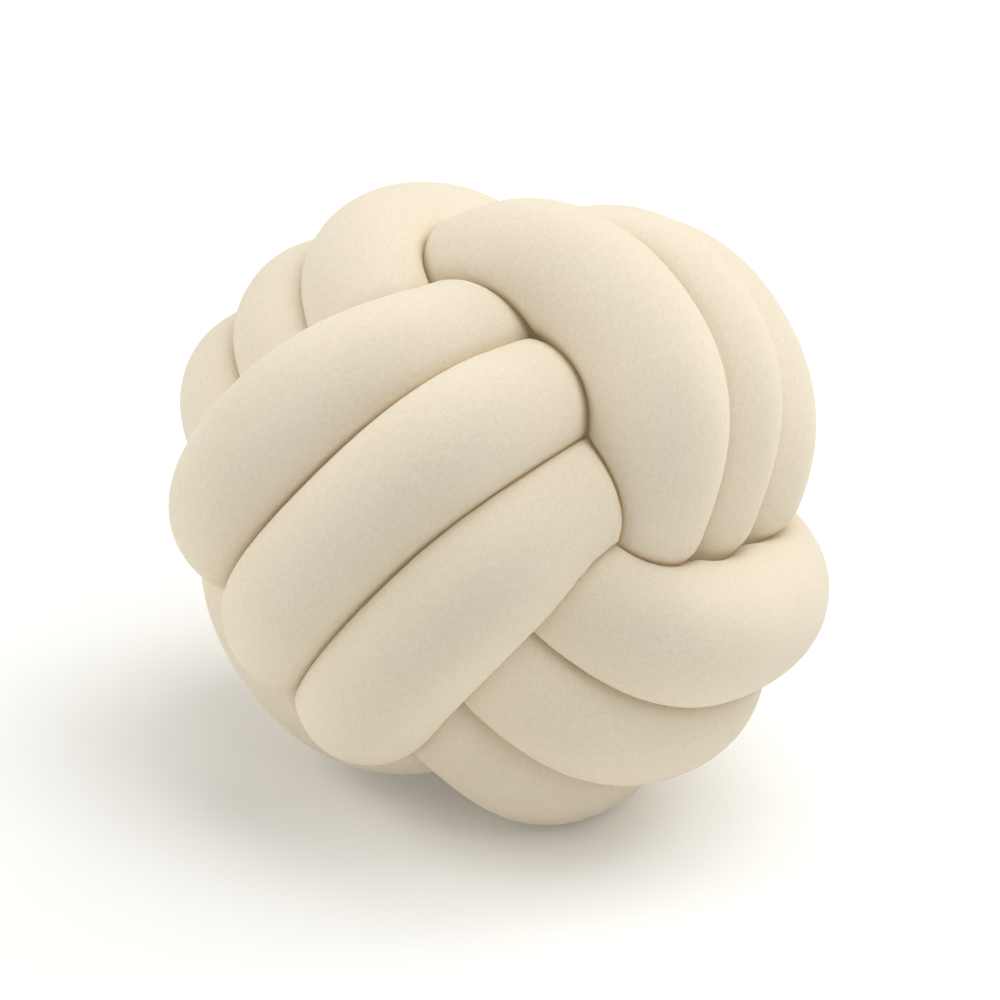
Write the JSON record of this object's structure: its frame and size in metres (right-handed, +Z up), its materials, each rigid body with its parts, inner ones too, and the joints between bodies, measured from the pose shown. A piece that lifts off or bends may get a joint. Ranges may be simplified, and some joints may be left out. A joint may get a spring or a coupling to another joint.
{
  "type": "knot cushion",
  "caption": "Round knot cushion: one stuffed jersey tube tied as a ball knot, with bands of turns that pass over and under each other.",
  "frame": {"origin": "on the surface that the cushion rests on, under the middle of its bounding box", "axes": "+Z up, -Y towards the side with the three crossing bands that the cushion is best seen from, +X to the right of that side"},
  "size_m": [0.2742, 0.2814, 0.2492],
  "materials": {
    "jersey": "cream stretch jersey, brushed, matt"
  },
  "bodies": {
    "root": {"stuffed_tube": "jersey"}
  },
  "joints": []
}
